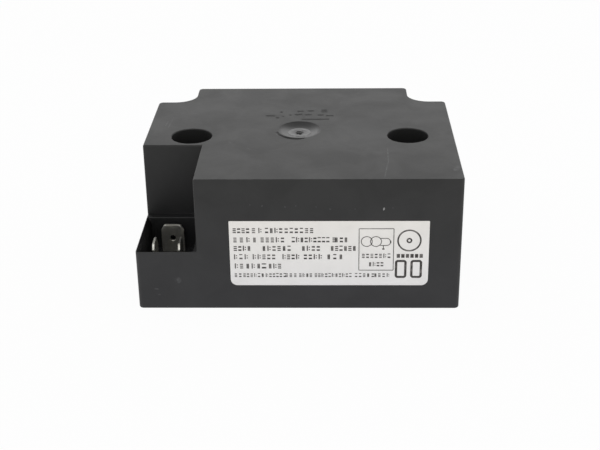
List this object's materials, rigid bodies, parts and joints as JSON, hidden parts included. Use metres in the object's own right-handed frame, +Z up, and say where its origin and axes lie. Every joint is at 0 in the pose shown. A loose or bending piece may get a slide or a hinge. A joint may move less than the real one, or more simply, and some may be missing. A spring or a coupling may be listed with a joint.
{
  "type": "ignition transformer",
  "caption": "Resin-filled ignition transformer in a black moulded case, with screw bores in its ears, an open blade terminal bay at one corner and a high-voltage socket at the rear.",
  "frame": {"origin": "on the base, in the middle of the outline seen from above", "axes": "+X along the width, from the terminal bay's side to the other; +Y from the label to the rear block; +Z up, out of the roof"},
  "size_m": [0.0856, 0.0728, 0.0374],
  "materials": {
    "case_plastic": "finely textured black moulding",
    "label_film": "satin printed film",
    "tinned_brass": "tin plated",
    "brass": "turned",
    "resin": "poured, self levelled",
    "board_laminate": "sawn laminate",
    "capacitor_box": "moulded box",
    "resistor_coat": "dipped coat",
    "black_epoxy": "moulded epoxy",
    "varistor_coat": "dipped coat",
    "sleeved_can": "shrunk sleeve",
    "ferrite": "sintered",
    "enamelled_copper": "wound enamelled wire",
    "former_plastic": "moulded",
    "lead_sleeve": "extruded sleeve",
    "aluminium": "sheared sheet",
    "plated_steel": "zinc plated"
  },
  "bodies": {
    "root": {"case": "case_plastic", "rating_label": "label_film", "line_blade": "tinned_brass", "neutral_blade": "tinned_brass", "earth_blade": "tinned_brass", "high_voltage_pin": "brass", "potting_resin": "resin", "closing_resin": "resin", "circuit_board": "board_laminate", "suppression_capacitor": "capacitor_box", "tank_capacitor": "capacitor_box", "fuse_resistor": "resistor_coat", "base_resistor": "resistor_coat", "feedback_resistor": "resistor_coat", "bridge_rectifier": "black_epoxy", "switching_transistor": "black_epoxy", "varistor": "varistor_coat", "reservoir_capacitor": "sleeved_can", "choke_core": "ferrite", "choke_winding": "enamelled_copper", "heat_sink": "aluminium", "sink_screw": "plated_steel", "sink_nut": "plated_steel", "core_half_left": "ferrite", "core_half_right": "ferrite", "primary_former": "former_plastic", "secondary_former": "former_plastic", "primary_winding": "enamelled_copper", "secondary_winding_1": "enamelled_copper", "secondary_winding_2": "enamelled_copper", "secondary_winding_3": "enamelled_copper", "secondary_winding_4": "enamelled_copper", "secondary_winding_5": "enamelled_copper", "secondary_winding_6": "enamelled_copper", "primary_lead_start": "lead_sleeve", "primary_lead_end": "lead_sleeve", "earth_lead": "lead_sleeve", "high_voltage_lead": "lead_sleeve"}
  },
  "joints": []
}
